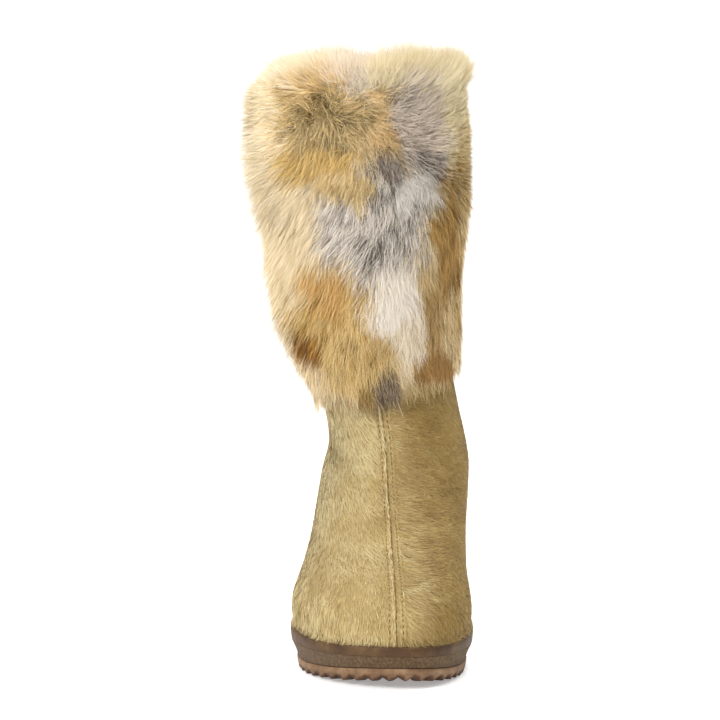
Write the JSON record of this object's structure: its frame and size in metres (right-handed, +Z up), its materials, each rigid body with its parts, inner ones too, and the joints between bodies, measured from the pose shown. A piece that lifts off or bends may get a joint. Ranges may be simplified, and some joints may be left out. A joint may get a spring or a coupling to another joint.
{
  "type": "wedge boot",
  "caption": "Right-foot winter wedge boot with a hair-on calf upper, a tall patchwork fur cuff, a dark rand and a lugged rubber sole.",
  "frame": {"origin": "on the floor under the middle of the boot's bounding box", "axes": "+Z up, toe towards -Y, medial (big toe) side towards +X"},
  "size_m": [0.143, 0.2762, 0.3565],
  "materials": {
    "rubber": "moulded tan-brown rubber, matt, with worn lug tips",
    "wedge_wrap": "napped mid-brown wrap, matt and mottled",
    "dark_leather": "smooth dark brown leather, low sheen",
    "felt": "cream wool felt",
    "calf_hair": "short tan calf hair lying flat, silky",
    "fur": "long soft fur in cream, gold, grey and brown patches"
  },
  "bodies": {
    "root": {"outsole": "rubber", "midsole": "wedge_wrap", "rand": "dark_leather", "insole": "felt", "upper": "calf_hair", "heel_counter": "dark_leather", "fur_cuff": "fur"}
  },
  "joints": []
}
